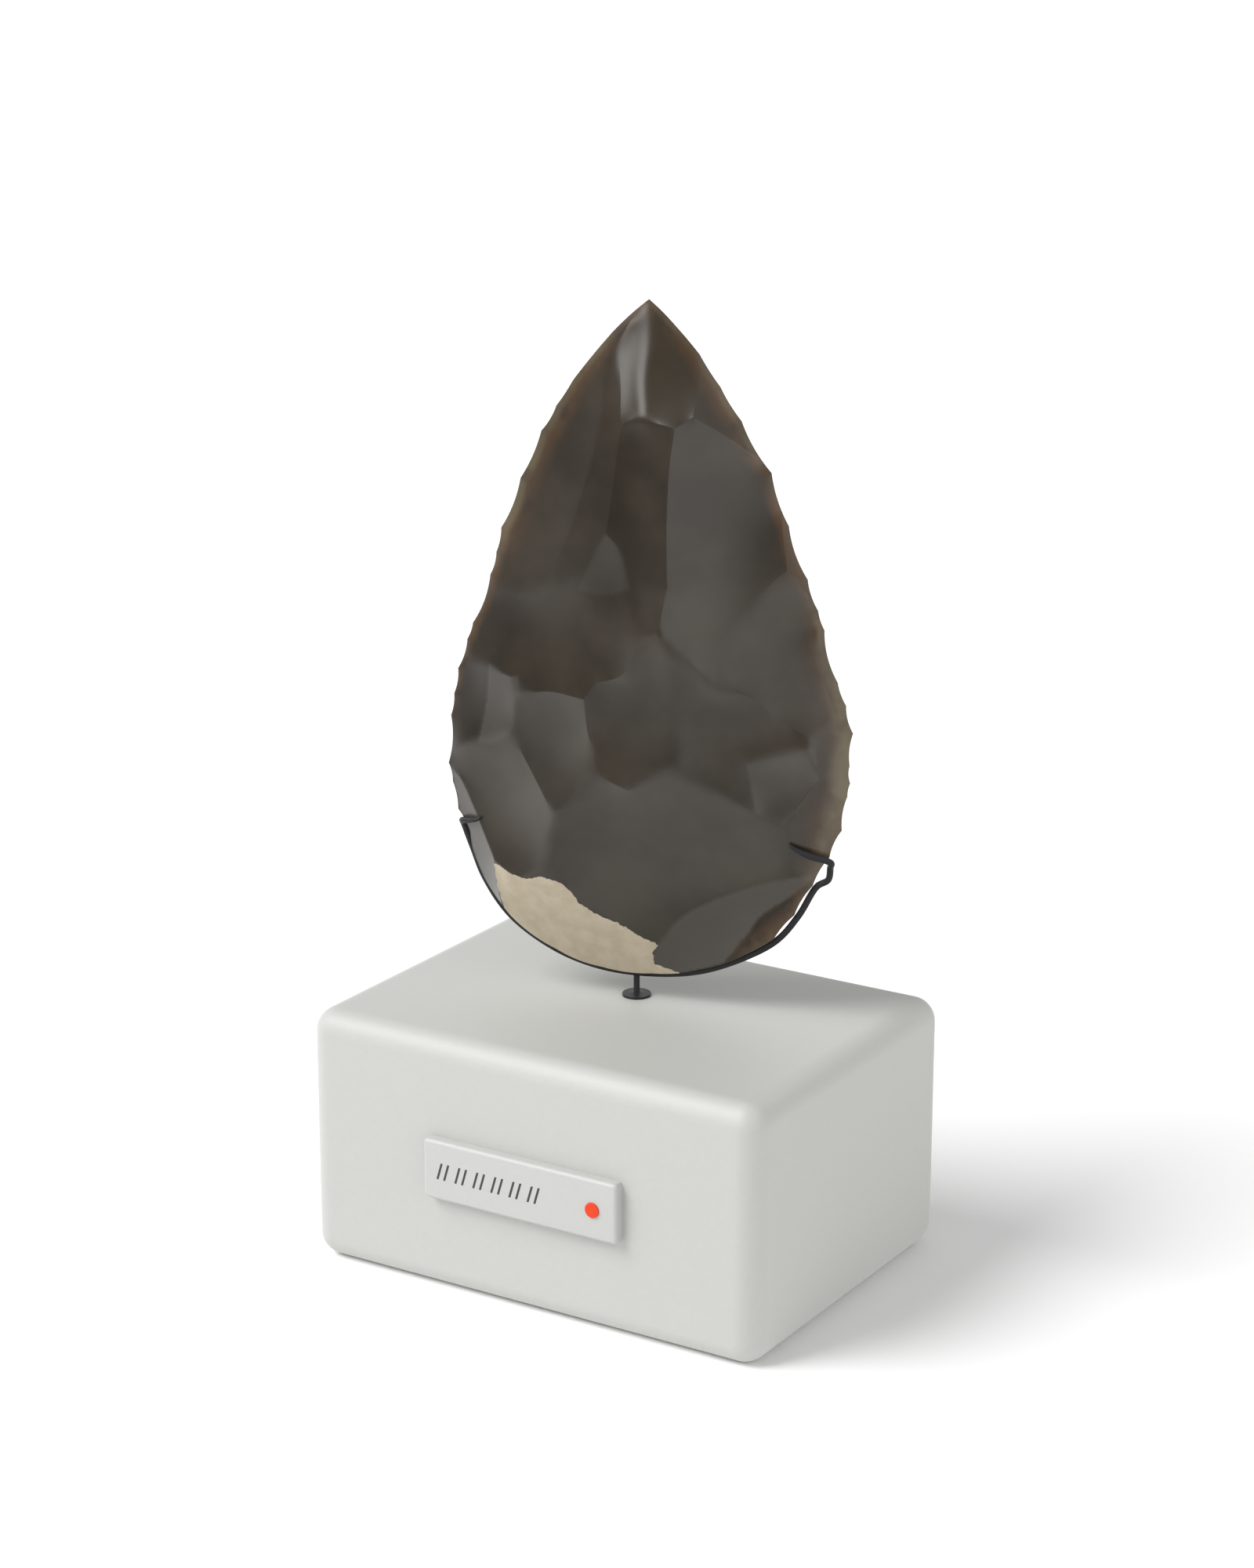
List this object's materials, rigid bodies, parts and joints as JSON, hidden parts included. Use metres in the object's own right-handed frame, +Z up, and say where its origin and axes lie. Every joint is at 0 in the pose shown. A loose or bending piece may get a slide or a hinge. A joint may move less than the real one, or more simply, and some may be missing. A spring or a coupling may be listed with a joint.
{
  "type": "stone hand axe",
  "caption": "Pear-shaped flint hand axe, knapped on both faces, held upright by a wire cradle with a rod and foot on a plain block with a small name plate.",
  "frame": {"origin": "centre of the display block's underside", "axes": "+Z up, +X to the right across the block's front, the name plate faces -Y; the stone is turned 12 degrees about Z from the block"},
  "size_m": [0.125, 0.0932, 0.2339],
  "materials": {
    "stone": "knapped flint with a soft gloss, thin edges letting light through, a patch of chalky cortex low on the front",
    "cradle": "blackened steel wire, satin",
    "block": "smooth white satin",
    "plate": "off-white satin with a row of dark printed strokes",
    "dot": "orange-red satin"
  },
  "bodies": {
    "root": {"hand_axe": "stone", "wire_cradle": "cradle", "display_block": "block", "name_plate": "plate", "plate_dot": "dot"}
  },
  "joints": []
}
